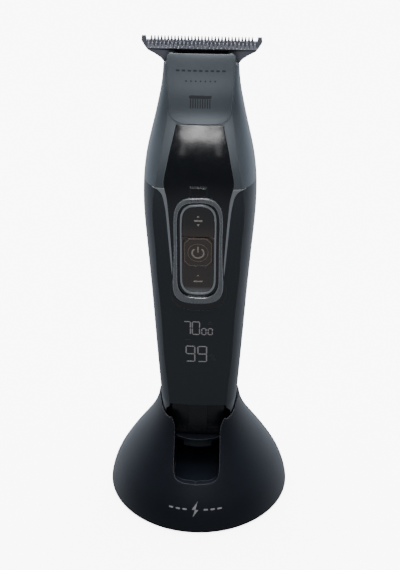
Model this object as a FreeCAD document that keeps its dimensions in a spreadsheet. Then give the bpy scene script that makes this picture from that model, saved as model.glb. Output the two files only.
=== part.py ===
import FreeCAD, Part
import os, math
from FreeCAD import Vector as V

# Cordless T-blade beard trimmer standing in its round charging dock.
# Frame: origin at the centre of the dock's underside, +Z up, the switch side faces -Y, +X to the right.

DOC = FreeCAD.newDocument("beard_trimmer")
SHEET = DOC.addObject("Spreadsheet::Sheet", "Dims")
VAL = {}
_row = [0]

def put(alias, value):
    _row[0] += 1
    cell = "B%d" % _row[0]
    SHEET.set("A%d" % _row[0], alias)
    SHEET.set(cell, repr(float(value)))
    SHEET.setAlias(cell, alias)
    VAL[alias] = float(value)

def G(alias):
    return VAL[alias]

# ---------------------------------------------------------------- driving dimensions (mm)
for a_, v_ in [
    # dock
    ("foot_height", 1.6), ("foot_dia", 8.0), ("foot_ring", 27.5), ("shell_bottom", 0.6),
    ("plate_low", 0.8), ("plate_thick", 1.8), ("plate_dia", 64.8), ("foot_pocket", 8.4),
    ("ballast_low", 2.6), ("ballast_thick", 3.2), ("ballast_dia", 40.0), ("ballast_bore", 12.0),
    ("dock_wall", 1.8), ("rim_high", 41.5), ("socket_gap", 0.35),
    ("slot_half", 8.6), ("slot_low", 17.9),
    ("boss_ring", 24.0), ("boss_dia", 5.0), ("dock_screw_dia", 2.2), ("dock_screw_head", 4.2),
    ("cradle_dia", 30.0), ("cradle_top", 29.6), ("cradle_thick", 1.3),
    ("tub_half", 9.9), ("tub_wall", 1.2), ("tub_low", 15.4), ("tub_back", 6.0),
    ("block_half", 5.3), ("block_low", 25.9), ("block_front", 14.7), ("block_back", 3.0),
    ("pin_pitch", 6.0), ("pin_dia", 1.5), ("barrel_bore", 1.6), ("barrel_dia", 2.6), ("barrel_low", 25.0),
    ("pin_top", 30.10), ("pin_low", 26.4), ("pad_dia", 2.6), ("pad_low", 30.15), ("pad_thick", 1.0),
    ("inlet_wide", 8.94), ("inlet_tall", 3.2), ("inlet_deep", 7.4), ("inlet_low", 4.2), ("inlet_mouth", 33.2),
    ("dpcb_wide", 20.0), ("dpcb_long", 8.9), ("dpcb_thick", 1.0), ("dpcb_low", 3.2), ("dpcb_near", 20.6),
    # trimmer casing
    ("rocker_axle_dia", 1.1), ("rocker_axle_y", -16.8), ("rocker_axle_z", 125.0), ("cap_bottom", 29.75), ("seam_low", 44.4), ("seam_head", 136.3), ("head_top", 178.4),
    ("split_y", 0.5), ("skin", 0.9), ("wall", 1.9), ("plate_proud", 0.25),
    ("bezel_proud", 0.8), ("frame_proud", 0.55), ("lens_proud", 0.25), ("button_proud", 0.5),
    ("button_gap", 0.14), ("key_gap", 0.2),
    # drive
    ("motor_dia", 20.0), ("motor_low", 104.0), ("motor_long", 27.0), ("can_wall", 0.8), ("motor_y", 0.0),
    ("magnet_thick", 1.3), ("rotor_dia", 14.6), ("rotor_low", 111.0), ("rotor_long", 16.0),
    ("comm_dia", 5.0), ("comm_long", 3.0),
    ("shaft_dia", 2.0), ("shaft_low", 104.9), ("shaft_top", 141.0), ("bell_thick", 3.0),
    ("bush_dia", 5.0), ("bush_bore", 2.08), ("bush_long", 2.4),
    ("cam_dia", 9.0), ("cam_low", 137.4), ("cam_thick", 4.2), ("cam_pin_dia", 1.6), ("cam_throw", 0.85), ("cam_pin_top", 149.4),
    ("bracket_low", 131.0), ("bracket_thick", 1.6),
    ("fork_low", 143.4), ("fork_tall", 5.6), ("fork_slot_half", 2.62), ("fork_slot_deep", 4.4),
    # blades
    ("blade_front", 3.0), ("blade_thick", 1.5), ("tooth_tip", 182.8), ("tooth_root", 181.35), ("tooth_pitch", 1.11),
    ("cutter_front", 1.75), ("cutter_thick", 1.2), ("cutter_tip", 180.85), ("cutter_root", 179.25), ("cutter_low", 170.0),
    ("blade_screw_x", 5.6), ("blade_screw_z", 165.4), ("blade_screw_dia", 2.4), ("blade_screw_head", 4.4),
    # cell and boards
    ("cell_dia", 14.0), ("cell_long", 50.0), ("cell_low", 49.6), ("cell_y", -0.4),
    ("pcb_wide", 17.0), ("pcb_low", 52.0), ("pcb_high", 130.4), ("pcb_thick", 1.0),
    ("display_wide", 15.0), ("display_low", 62.0), ("display_high", 86.0), ("display_thick", 1.2),
    ("chassis_wide", 13.0), ("chassis_thick", 1.2),
    ("housing_screw_dia", 1.9), ("housing_screw_head", 3.4), ("ear_x", 13.2),
    ("motor_screw_dia", 1.6), ("motor_screw_x", 6.5), ("rotor_slot_near", 3.6), ("rotor_slot_far", 9.0), ("rotor_slot_half", 0.8),
    ("stand_half", 4.0), ("stand_near", 22.0), ("stand_far", 28.0), ("sink_gap", 0.15), ("sink_deep", 1.2), ("boss_side", 24.0 / math.sqrt(2.0)),
]:
    put(a_, v_)

# Cross-sections of the trimmer casing: height, half width, front, rear, half width at the crease,
# setback of the crease, height of the widest point.
SEC = [
    (28.0, 13.35, -11.9, 9.3, 9.9, 0.9, -1.1),
    (34.0, 13.78, -12.45, 9.8, 10.25, 0.95, -1.15),
    (40.0, 14.20, -13.0, 10.3, 10.6, 1.0, -1.2),
    (48.0, 14.75, -13.7, 10.9, 11.0, 1.0, -1.2),
    (60.0, 15.53, -14.7, 12.0, 11.9, 1.0, -1.2),
    (76.0, 16.48, -15.9, 13.4, 12.8, 1.0, -1.2),
    (92.0, 17.43, -16.9, 14.6, 13.6, 1.0, -1.2),
    (107.0, 18.46, -17.6, 15.4, 14.6, 1.1, -1.3),
    (120.0, 19.38, -18.0, 15.7, 15.3, 1.2, -1.4),
    (131.0, 19.66, -17.7, 15.4, 15.5, 1.5, -1.4),
    (138.0, 19.25, -16.8, 14.7, 14.6, 1.8, -1.4),
    (145.0, 18.25, -15.0, 13.2, 13.2, 2.0, -1.2),
    (151.0, 16.90, -12.3, 11.5, 12.1, 1.9, -0.8),
    (157.0, 15.45, -8.9, 9.7, 11.1, 1.3, 0.0),
    (163.0, 14.15, -6.6, 8.0, 10.9, 0.9, 0.6),
    (170.0, 13.00, -4.3, 6.3, 11.2, 0.7, 1.0),
    (174.2, 12.65, -2.9, 5.35, 11.3, 0.65, 1.1),
    (178.4, 12.30, -1.5, 4.4, 11.4, 0.6, 1.2),
]
NSEC = len(SEC)
for i_, s_ in enumerate(SEC):
    for k_, nm_ in enumerate(("level", "half", "front", "rear", "crease", "setback", "widest")):
        put("sec%02d_%s" % (i_, nm_), s_[k_])

# Outer profile of the dock bell: height and radius.
BELL = [(0.6, 34.99), (1.6, 34.86), (5.0, 34.08), (10.0, 32.22), (15.0, 29.51), (20.0, 26.41), (25.0, 23.03),
        (30.0, 19.79), (33.0, 18.14), (35.0, 17.24), (37.0, 16.49), (39.0, 15.89), (41.5, 15.44)]
for i_, (z_, r_) in enumerate(BELL):
    put("bell%02d_level" % i_, z_)
    put("bell%02d_rad" % i_, r_)
DOC.recompute()

# ---------------------------------------------------------------- helpers
NODES = []

def bind(obj, prop, value):
    if isinstance(value, str):
        obj.setExpression(prop, value)
    else:
        parts = prop.split(".")
        if len(parts) == 1:
            setattr(obj, prop, value)
        else:
            p = obj.Placement
            b = V(p.Base)
            setattr(b, parts[-1], value)
            obj.Placement = FreeCAD.Placement(b, p.Rotation)

def seat(obj, base, rot=None):
    if rot is not None:
        obj.Placement = FreeCAD.Placement(V(0, 0, 0), FreeCAD.Rotation(V(*rot[0]), rot[1]))
    for ax, val in zip("xyz", base):
        if isinstance(val, str) or val != 0:
            bind(obj, "Placement.Base." + ax, val)

def cyl(name, rad, height, base=(0, 0, 0), rot=None):
    o = DOC.addObject("Part::Cylinder", name)
    bind(o, "Radius", rad)
    bind(o, "Height", height)
    seat(o, base, rot)
    return o

def cone(name, r1, r2, height, base=(0, 0, 0), rot=None):
    o = DOC.addObject("Part::Cone", name)
    bind(o, "Radius1", r1)
    bind(o, "Radius2", r2)
    bind(o, "Height", height)
    seat(o, base, rot)
    return o

def box(name, lx, ly, lz, base=(0, 0, 0)):
    o = DOC.addObject("Part::Box", name)
    bind(o, "Length", lx)
    bind(o, "Width", ly)
    bind(o, "Height", lz)
    seat(o, base)
    return o

def sphere(name, rad, base=(0, 0, 0)):
    o = DOC.addObject("Part::Sphere", name)
    bind(o, "Radius", rad)
    seat(o, base)
    return o

def cut(name, a, b):
    o = DOC.addObject("Part::Cut", name)
    o.Base, o.Tool = a, b
    return o

def fuse(name, parts):
    o = DOC.addObject("Part::MultiFuse", name)
    o.Shapes = parts
    o.Refine = True
    return o

def common(name, a, b):
    o = DOC.addObject("Part::MultiCommon", name)
    o.Shapes = [a, b]
    return o

def group(name, parts):
    o = DOC.addObject("Part::Compound", name)
    o.Links = parts
    return o

def node(obj, label):
    obj.Label = label
    NODES.append((obj, label))
    return obj

def feature(label, shape):
    o = DOC.addObject("Part::Feature", label + "_form")
    o.Shape = shape
    o.Placement = FreeCAD.Placement(V(0, 0, 0), FreeCAD.Rotation())
    return node(o, label)

def new_body(label):
    b = DOC.addObject("PartDesign::Body", label + "_body")
    return node(b, label)

def plane_of(body, role):
    for f in body.Origin.OriginFeatures:
        if f.Role == role:
            return f

def sketch(body, name, role="XY_Plane", offset=None):
    sk = body.newObject("Sketcher::SketchObject", name)
    sk.AttachmentSupport = [(plane_of(body, role), "")]
    sk.MapMode = "FlatFace"
    if offset is not None:
        sk.setExpression("AttachmentOffset.Base.z", offset)
    return sk

def need(alias_expr):
    # current value of a simple expression of sheet aliases
    txt = alias_expr
    for k in sorted(VAL, key=len, reverse=True):
        txt = txt.replace("Dims." + k, repr(VAL[k]))
    total = 0.0
    num = ""
    # products and quotients joined by plus or minus
    terms = txt.replace("-", "+-").split("+")
    for t in terms:
        t = t.strip().replace(" ", "")
        if not t:
            continue
        neg = t.startswith("-")
        t = t.lstrip("-")
        v = 1.0
        op = "*"
        cur = ""
        for ch in t + "*":
            if ch in "*/":
                v = v * float(cur) if op == "*" else v / float(cur)
                op = ch
                cur = ""
            else:
                cur += ch
        total += -v if neg else v
    return total

def add_circle(sk, rad, cx=None, cy=None, sx=1, sy=1):
    x = sx * need(cx) if cx else 0.0
    y = sy * need(cy) if cy else 0.0
    g = sk.addGeometry(Part.Circle(V(x, y, 0), V(0, 0, 1), need(rad)), False)
    import Sketcher
    if cx is None and cy is None:
        sk.addConstraint(Sketcher.Constraint("Coincident", g, 3, -1, 1))
    else:
        for kind, e, s in (("DistanceX", cx, sx), ("DistanceY", cy, sy)):
            if e is None:
                sk.addConstraint(Sketcher.Constraint("PointOnObject", g, 3, -2 if kind == "DistanceX" else -1))
            else:
                if s > 0:
                    c = sk.addConstraint(Sketcher.Constraint(kind, -1, 1, g, 3, need(e)))
                else:
                    c = sk.addConstraint(Sketcher.Constraint(kind, g, 3, -1, 1, need(e)))
                sk.setExpression("Constraints[%d]" % c, e)
    c = sk.addConstraint(Sketcher.Constraint("Radius", g, need(rad)))
    sk.setExpression("Constraints[%d]" % c, rad)
    return g

def add_rect(sk, x0, x1, y0, y1):
    # corners given by expressions; each side is dimensioned from the origin
    import Sketcher
    a, b, c, d = need(x0), need(x1), need(y0), need(y1)
    pts = [V(a, c, 0), V(b, c, 0), V(b, d, 0), V(a, d, 0)]
    g = [sk.addGeometry(Part.LineSegment(pts[i], pts[(i + 1) % 4]), False) for i in range(4)]
    for i in range(4):
        sk.addConstraint(Sketcher.Constraint("Coincident", g[i], 2, g[(i + 1) % 4], 1))
    for i in (0, 2):
        sk.addConstraint(Sketcher.Constraint("Horizontal", g[i]))
    for i in (1, 3):
        sk.addConstraint(Sketcher.Constraint("Vertical", g[i]))
    for kind, e, gi, pos in (("DistanceX", x0, g[0], 1), ("DistanceX", x1, g[0], 2),
                             ("DistanceY", y0, g[0], 1), ("DistanceY", y1, g[2], 1)):
        v = need(e)
        if v >= 0:
            k = sk.addConstraint(Sketcher.Constraint(kind, -1, 1, gi, pos, v))
            sk.setExpression("Constraints[%d]" % k, e)
        else:
            k = sk.addConstraint(Sketcher.Constraint(kind, gi, pos, -1, 1, -v))
            sk.setExpression("Constraints[%d]" % k, "-(" + e + ")")
    return g

def pad(body, sk, length, name):
    p = body.newObject("PartDesign::Pad", name)
    p.Profile = sk
    p.setExpression("Length", length)
    return p

def pocket(body, sk, length, name, reverse=False):
    p = body.newObject("PartDesign::Pocket", name)
    p.Profile = sk
    p.Reversed = reverse
    p.setExpression("Length", length)
    return p

# ---------------------------------------------------------------- casing form
def form_section(i, t):
    lv, hf, fr, re, cr, sb, wd = [G("sec%02d_%s" % (i, n)) for n in
                                  ("level", "half", "front", "rear", "crease", "setback", "widest")]
    hf -= t
    fr += t
    re -= t
    cr -= 0.7 * t
    ya = fr + sb

    def bez(*p):
        c = Part.BezierCurve()
        c.setPoles([V(*q) for q in p])
        return c.toShape()

    def side(s):
        return [(s * cr, ya, lv), (s * (cr + 0.62 * (hf - cr)), ya + 0.20 * (wd - ya), lv),
                (s * hf, ya + 0.45 * (wd - ya), lv), (s * hf, wd, lv)]

    def back(s):
        return [(s * hf, wd, lv), (s * hf, wd + 0.56 * (re - wd), lv), (s * hf * 0.60, re, lv), (0, re, lv)]

    return Part.Wire([
        bez((-cr, ya, lv), (-cr * 0.45, fr, lv), (cr * 0.45, fr, lv), (cr, ya, lv)),
        bez(*side(1)), bez(*back(1)), bez(*reversed(back(-1))), bez(*reversed(side(-1)))])

_forms = {}

def form(t):
    # solid of the casing's outside, inset by t
    k = round(t, 3)
    if k not in _forms:
        _forms[k] = Part.makeLoft([form_section(i, t) for i in range(NSEC)], True, False)
    return _forms[k].copy()

def block(x0, x1, y0, y1, z0, z1):
    return Part.makeBox(x1 - x0, y1 - y0, z1 - z0, V(x0, y0, z0))

def outline(points, smooth=True, y0=-30.0, y1=0.0):
    # points: (half width, height) down the right side from the top; mirrored to the left.
    # The closed front-view outline is extruded along Y.
    right = [V(x, y0, z) for x, z in points]
    left = [V(-x, y0, z) for x, z in reversed(points)]
    edges = []

    def run(pp):
        if smooth and len(pp) > 2:
            c = Part.BSplineCurve()
            c.interpolate(pp)
            return [c.toShape()]
        return [Part.makeLine(pp[k], pp[k + 1]) for k in range(len(pp) - 1)]

    edges += run(right)
    if right[-1].distanceToPoint(left[0]) > 1e-6:
        edges.append(Part.makeLine(right[-1], left[0]))
    edges += run(left)
    if left[-1].distanceToPoint(right[0]) > 1e-6:
        edges.append(Part.makeLine(left[-1], right[0]))
    return Part.Face(Part.Wire(edges)).extrude(V(0, y1 - y0, 0))

def polygon_xz(points, y0, depth):
    vs = [V(x, y0, z) for x, z in points]
    return Part.Face(Part.makePolygon(vs + [vs[0]])).extrude(V(0, depth, 0))

def solids_only(s):
    so = [x for x in s.Solids if x.Volume > 0.02]
    return so[0] if len(so) == 1 else Part.makeCompound(so)

SKIN, WALL = G("skin"), G("wall")
SEAM_LOW, SEAM_HEAD, HEAD_TOP, SPLIT = G("seam_low"), G("seam_head"), G("head_top"), G("split_y")
L0, L1, L2 = form(0), form(SKIN), form(WALL)

SPINE = [(7.95, 156.4), (8.75, 153.0), (9.75, 149.0), (10.9, 143.6), (11.75, 139.4), (11.85, 137.6), (11.3, 135.2),
         (10.7, 132.6), (10.3, 129.0), (9.9, 124.0), (9.5, 118.0), (9.15, 112.0), (8.9, 106.0), (9.2, 101.5), (9.75, 98.0),
         (9.75, 95.0), (8.9, 92.2), (6.9, 90.0), (3.8, 88.9), (0.0, 88.6)]
BEZEL_OUT = [(0.0, 133.7), (3.6, 133.45), (6.2, 132.1), (7.75, 129.6), (8.3, 126.2), (8.3, 118.0), (8.4, 110.0), (8.75, 102.0),
             (8.75, 98.0), (7.9, 95.0), (6.2, 93.2), (3.4, 92.25), (0.0, 92.0)]
BEZEL_IN = [(0.0, 132.2), (3.2, 131.9), (5.4, 130.8), (6.75, 128.6), (7.25, 125.6), (7.25, 118.0), (7.25, 110.0), (7.25, 102.0),
            (7.0, 98.9), (6.0, 96.6), (4.6, 95.3), (2.6, 94.65), (0.0, 94.5)]
FRAME_OUT = [(0.0, 131.3), (2.9, 131.0), (4.8, 129.9), (5.9, 127.9), (6.2, 125.2), (6.2, 118.0), (6.2, 110.0), (6.2, 102.4),
             (6.0, 99.9), (5.1, 97.7), (3.9, 96.5), (2.2, 95.95), (0.0, 95.8)]
FRAME_IN = [(0.0, 130.7), (2.6, 130.4), (4.3, 129.4), (5.3, 127.5), (5.6, 125.0), (5.6, 118.0), (5.6, 110.0), (5.6, 102.6),
            (5.4, 100.2), (4.6, 98.3), (3.5, 97.2), (2.0, 96.65), (0.0, 96.5)]

def smooth_outline(points, y0=-30.0, y1=0.0):
    # outline whose first and last points lie on the centre line: one smooth closed curve
    right = [V(x, y0, z) for x, z in points]
    left = [V(-x, y0, z) for x, z in reversed(points[1:-1])]
    c = Part.BSplineCurve()
    c.interpolate(Points=right + left, PeriodicFlag=True)
    return Part.Face(Part.Wire([c.toShape()])).extrude(V(0, y1 - y0, 0))

bezel_out, bezel_in = smooth_outline(BEZEL_OUT), smooth_outline(BEZEL_IN)
frame_out, frame_in = smooth_outline(FRAME_OUT), smooth_outline(FRAME_IN)

# spine outline: straight top edge, smooth flanks, rounded foot
spine_zone = outline(SPINE, True)
trim_zone = outline([(15.9, SEAM_HEAD), (14.6, 136.05), (13.3, 135.3), (12.4, 134.1), (11.75, 132.0), (11.2, 129.0), (10.7, 124.0), (10.25, 118.0), (9.8, 112.0), (9.35, 106.0), (8.7, 101.0)], True)

# ---- fascia outline follows the crease
crease = [(G("sec%02d_crease" % i), G("sec%02d_level" % i)) for i in range(NSEC)]

def crease_at(z):
    for k in range(len(crease) - 1):
        (a0, z0), (a1, z1) = crease[k], crease[k + 1]
        if z0 <= z <= z1:
            return a0 + (a1 - a0) * (z - z0) / (z1 - z0)

fas_pts = [(crease_at(z), z) for z in (SEAM_HEAD, 131, 126, 120, 113, 107, 100, 92, 84, 76, 68, 60, 54, 48, SEAM_LOW)]
fascia_zone = outline(fas_pts, True)

front_skin = L0.cut(L1)
under = L1.cut(L2)
mid = block(-40, 40, -40, SPLIT, SEAM_LOW, SEAM_HEAD)
rear_half = block(-40, 40, SPLIT, 40, SEAM_LOW, SEAM_HEAD)
front_only = block(-40, 40, -40, -2.0, 20, 200)

# ---------------------------------------------------------------- casing pieces
spine_skin = front_skin.common(spine_zone).common(front_only)
spine_panel = spine_skin.cut(frame_out)
# small raised tab above the switch ring
tab = form(-0.55).cut(form(0.2)).common(block(-2.9, 2.9, -40, -5, 134.3, 137.2))
spine_panel = spine_panel.fuse(tab)
feature("spine_panel", solids_only(spine_panel))

trim = form(-0.12).cut(L1).common(trim_zone).common(front_only).common(block(-40, 40, -40, 0, 102.5, SEAM_HEAD)).cut(spine_zone)
trim = trim.cut(bezel_out)
feature("spine_trim", solids_only(trim))

fascia = front_skin.common(fascia_zone).common(front_only).common(mid).cut(spine_zone).cut(trim_zone.common(block(-40, 40, -40, 0, 102.5, 200)))
feature("fascia_panel", solids_only(fascia))

front_full = L0.cut(L2).common(mid)
fh = front_full.cut(front_skin.common(fascia_zone).common(front_only)).cut(frame_in).cut(trim)
# bearing for the rocker's axle
axle_hole = Part.makeCylinder(G("rocker_axle_dia") / 2 + 0.06, 12.2, V(-6.1, G("rocker_axle_y"), G("rocker_axle_z")), V(1, 0, 0))
fh = fh.cut(axle_hole)
# window behind the number display
fh = fh.cut(block(-G("display_wide") / 2 - 0.3, G("display_wide") / 2 + 0.3, -40, -5, G("display_low") - 0.3, G("display_high") + 0.3))
feature("front_housing", solids_only(fh))

rh = L0.cut(L2).common(rear_half)
feature("rear_housing", solids_only(rh))

# head shell: skin removed where the spine panel sits, raised front plate, rear seat for the blade
head = L0.cut(L2).common(block(-40, 40, -40, 40, SEAM_HEAD, HEAD_TOP))
head = head.cut(front_skin.common(spine_zone).common(front_only))
plate_pts = [(11.35, HEAD_TOP), (11.25, 176.4), (10.8, 169.0), (10.35, 161.6), (10.0, 159.6), (9.1, 158.0), (7.4, 157.1), (4.0, 156.7), (0.0, 156.6)]
plate_zone = outline(plate_pts, True)
plate = form(-G("plate_proud")).cut(form(0.6)).common(plate_zone).common(block(-40, 40, -40, -0.3, 150, HEAD_TOP))
head = head.fuse(plate)
for s_ in (-1, 1):
    boss = Part.makeCylinder(2.6, 8.7, V(s_ * G("ear_x"), -1.0, SEAM_HEAD))
    web = block(13.0, 18.4, -1.9, -0.1, SEAM_HEAD, SEAM_HEAD + 8.7) if s_ > 0 else block(-18.4, -13.0, -1.9, -0.1, SEAM_HEAD, SEAM_HEAD + 8.7)
    head = head.fuse(boss.fuse(web).common(form(1.2)))
    head = head.cut(Part.makeCylinder(G("housing_screw_dia") / 2, 8.0, V(s_ * G("ear_x"), -1.0, SEAM_HEAD - 0.2)))
head = head.cut(form(1.2).common(block(-9.4, 9.4, -20, 3.2, 163.0, HEAD_TOP + 0.1)))
head = head.cut(block(-9.4, 9.4, -1.0, 3.2, 172.0, HEAD_TOP + 0.1))
# near the free top edge only a thin wall is left, so the throat in front of the blades is open
head = head.cut(form(0.8).common(block(-14, 14, -20, 3.2, 174.0, HEAD_TOP + 0.1)))
head = head.cut(block(-40, 40, G("blade_front"), 40, 161.2, 200))
# the cutter slides past these walls, so the sides are open behind the plate
head = head.cut(block(-14, 14, 1.0, 3.2, 175.5, HEAD_TOP + 0.1))
# rounded upper corners of the plate, and the side walls dropping away beside it
for s_ in (-1, 1):
    cc = Part.BSplineCurve()
    cc.interpolate([V(s_ * x, -20, z) for x, z in [(9.9, HEAD_TOP + 0.02), (10.7, 178.15), (11.2, 177.5), (11.42, 176.6), (11.5, 175.7), (11.85, 174.9), (12.7, 174.35), (14.5, 174.0)]])
    e_ = cc.toShape()
    p0, p1 = V(s_ * 9.9, -20, HEAD_TOP + 0.02), V(s_ * 14.5, -20, 174.0)
    q0, q1 = V(s_ * 9.9, -20, HEAD_TOP + 2), V(s_ * 14.5, -20, HEAD_TOP + 2)
    w_ = Part.Wire([e_, Part.makeLine(p1, q1), Part.makeLine(q1, q0), Part.makeLine(q0, p0)])
    head = head.cut(Part.Face(w_).extrude(V(0, 23.0, 0)))
head = solids_only(head)
if len(head.Solids) != 1 or abs(head.optimalBoundingBox(False, False).ZMax - HEAD_TOP) > 0.05:
    raise RuntimeError("head shell is split or has lost its top edge")
for x_ in (0.0, 4.5, 8.5):
    for z_ in (165, 168, 170, 171.5, 173, 174.5, 175.5, 176.5, 177.5, 178.2):
        wall_ = Part.makeLine(V(x_, -30, z_), V(x_, 0.5, z_)).common(head).Length
        if wall_ < 0.4:
            raise RuntimeError("head front wall is %.2f mm at x %.1f z %.1f" % (wall_, x_, z_))
feature("head_shell", head)

# end cap: front recess with a locating rib
cap = L0.common(block(-40, 40, -40, 40, G("cap_bottom"), SEAM_LOW))
cap = cap.cut(form(2.2).common(block(-40, 40, -40, 40, G("cap_bottom") + 2.2, 60)))
rec_low = G("cap_bottom") + 1.5
rec_pts = [(10.3, 60.0), (10.3, SEAM_LOW - 0.2), (10.8, 43.0), (12.2, 40.6), (12.2, rec_low)]
rec_zone = polygon_xz(rec_pts + [(-x, z) for x, z in reversed(rec_pts)], -40, 36)
rec = form(-2).cut(form(1.6)).common(rec_zone).cut(block(-3.4, 3.4, -40, 0, 20, 60))
cap = cap.cut(rec)
bev = [e for e in cap.Edges if abs(e.BoundBox.ZMax - G("cap_bottom")) < 1e-3 and abs(e.BoundBox.ZMin - G("cap_bottom")) < 1e-3]
try:
    capf = cap.makeFillet(0.9, bev)
    if capf.isValid() and capf.Volume > 0.9 * cap.Volume:
        cap = capf
except Exception:
    pass
for s in (-1, 1):
    cap = cap.cut(Part.makeCylinder(G("pad_dia") / 2, 3.0, V(s * G("pin_pitch") / 2, -6.0, G("cap_bottom") - 0.5)))
feature("end_cap", solids_only(cap))

# switch ring and lens
ring = form(-G("bezel_proud")).cut(form(0.0)).common(bezel_out).cut(bezel_in).common(front_only)
feature("switch_bezel", solids_only(ring))
lf = form(-G("frame_proud")).cut(form(SKIN)).common(frame_out).cut(frame_in).common(front_only)
lf = lf.cut(axle_hole)
feature("lens_frame", solids_only(lf))

def octagon(hw, z0, z1, c):
    return polygon_xz([(-hw + c, z1), (hw - c, z1), (hw, z1 - c), (hw, z0 + c), (hw - c, z0), (-hw + c, z0), (-hw, z0 + c), (-hw, z1 - c)], -30, 30)

OCT_LOW, OCT_HIGH = 107.4, 118.8
lens_skin = form(-G("lens_proud")).cut(form(SKIN)).common(frame_in).common(front_only)
key_low = OCT_HIGH + 0.35
lens = lens_skin.cut(octagon(5.0 + G("button_gap"), OCT_LOW - G("button_gap"), OCT_HIGH + G("button_gap"), 1.6))
lens = lens.common(block(-10, 10, -40, 0, 80, key_low - G("key_gap")))
feature("switch_lens", solids_only(lens))

btn = form(-G("button_proud")).cut(form(1.4)).common(octagon(5.0, OCT_LOW, OCT_HIGH, 1.6)).common(front_only)
stem = Part.makeCylinder(1.6, 1.95, V(0, -17.0, 113.1), V(0, 1, 0))
feature("power_button", solids_only(btn.fuse(stem)))

frame_key = smooth_outline([(0.0, 130.7 - 0.2), (2.5, 130.2), (4.15, 129.25), (5.12, 127.4), (5.4, 125.0), (5.4, 118.0), (5.4, 110.0), (5.4, 102.6),
                            (5.2, 100.3), (4.4, 98.5), (3.4, 97.4), (2.0, 96.85), (0.0, 96.7)])
key = form(-G("lens_proud")).cut(form(SKIN)).common(frame_key).common(front_only).common(block(-10, 10, -40, 0, key_low, 140))
ktip = [Part.makeCylinder(0.9, 2.4, V(0, -17.2, z), V(0, 1, 0)) for z in (121.9, 128.1)]
axle = Part.makeCylinder(G("rocker_axle_dia") / 2, 11.8, V(-5.9, G("rocker_axle_y"), G("rocker_axle_z")), V(1, 0, 0))
feature("speed_rocker", solids_only(key.fuse(ktip[0]).fuse(ktip[1]).fuse(axle)))

# ---------------------------------------------------------------- boards and display
pcb_y = -13.4
disp = form(1.05).cut(form(1.05 + G("display_thick"))).common(block(-G("display_wide") / 2, G("display_wide") / 2, -40, -5, G("display_low"), G("display_high")))
feature("display_module", solids_only(disp))

pcb = DOC.addObject("Part::Box", "main_pcb_box")
bind(pcb, "Length", "Dims.pcb_wide")
bind(pcb, "Width", "Dims.pcb_thick")
bind(pcb, "Height", "Dims.pcb_high - Dims.pcb_low")
# the board leans to follow the casing's front
lean = math.degrees(math.atan2(3.2, 76.0))
pcb.Placement = FreeCAD.Placement(V(-G("pcb_wide") / 2, -10.7, G("pcb_low")), FreeCAD.Rotation(V(1, 0, 0), lean))
node(pcb, "main_pcb")

def pcb_front(z):
    return -10.7 - (z - G("pcb_low")) * math.tan(math.radians(lean))

DOC.recompute()
board = pcb.Shape.copy()
sw = []
for z_, h_ in ((113.1, 1.6), (121.9, 1.4), (128.1, 1.4)):
    sw.append(Part.makeBox(2 * h_, pcb_front(z_) + 0.4 + 14.5, 2 * h_, V(-h_, -14.5, z_ - h_)).cut(board))
feature("tact_switches", Part.makeCompound(sw))

# ---------------------------------------------------------------- cell and its frame
cell_can = cyl("cell_can", "Dims.cell_dia / 2", "Dims.cell_long - 1.2", (0, "Dims.cell_y", "Dims.cell_low"))
cell_tip = cyl("cell_tip", 2.7, 1.4, (0, "Dims.cell_y", "Dims.cell_low + Dims.cell_long - 1.4"))
node(fuse("battery_cell_sum", [cell_can, cell_tip]), "battery_cell")

tab_lo = cyl("tab_low_disc", 4.0, 0.3, (0, "Dims.cell_y", "Dims.cell_low - 0.3"))
tab_hi = cyl("tab_high_disc", 2.6, 0.3, (0, "Dims.cell_y", "Dims.cell_low + Dims.cell_long"))
node(group("battery_tabs_pair", [tab_lo, tab_hi]), "battery_tabs")

CY = G("cell_y")
chassis = form(2.0).cut(form(2.0 + G("chassis_thick"))).common(block(-G("chassis_wide") / 2 - 1.5, G("chassis_wide") / 2 + 1.5, 3.0, 40, 46.4, 130.6))
ends = form(2.0).common(block(-8.0, 8.0, -6.5, 40, 47.4, 48.9)).fuse(form(2.0).common(block(-8.0, 8.0, -6.5, 40, 100.6, 102.0)))
saddles = form(2.0).common(block(-7.2, 7.2, 1.5, 40, 60, 63)).fuse(form(2.0).common(block(-7.2, 7.2, 1.5, 40, 86, 89)))
saddles = saddles.cut(Part.makeCylinder(G("cell_dia") / 2 + 0.05, 60, V(0, CY, 45)))
chassis = chassis.fuse(ends).fuse(saddles)
chassis = chassis.cut(Part.makeCylinder(3.2, 3, V(0, CY, 99.7)))
feature("chassis", solids_only(chassis))

# ---------------------------------------------------------------- motor
can = new_body("motor_can")
sk = sketch(can, "can_outer_sketch", offset="Dims.motor_low")
add_circle(sk, "Dims.motor_dia / 2")
pad(can, sk, "Dims.motor_long", "can_outer")
DOC.recompute()
sk = sketch(can, "can_inner_sketch", offset="Dims.motor_low")
add_circle(sk, "Dims.motor_dia / 2 - Dims.can_wall")
pocket(can, sk, "Dims.motor_long - Dims.can_wall", "can_inner", True)
sk = sketch(can, "can_mouth_sketch", offset="Dims.motor_low")
add_circle(sk, "Dims.bush_dia / 2")
for sx in (1, -1):
    add_circle(sk, "Dims.motor_screw_dia / 2", cx="Dims.motor_screw_x", sx=sx)
pocket(can, sk, "Dims.motor_long + 1", "can_mouth", True)

mag_o = cyl("magnet_outer", "Dims.motor_dia / 2 - Dims.can_wall", "Dims.rotor_long + 2", (0, 0, "Dims.rotor_low - 1"))
mag_i = cyl("magnet_inner", "Dims.motor_dia / 2 - Dims.can_wall - Dims.magnet_thick", 40, (0, 0, 100))
mag_ring = cut("magnet_ring", mag_o, mag_i)
mag_gap = box("magnet_gap", 2.4, 40, 40, (-1.2, -20, 100))
node(cut("magnet_pair", mag_ring, mag_gap), "motor_magnets")

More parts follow.
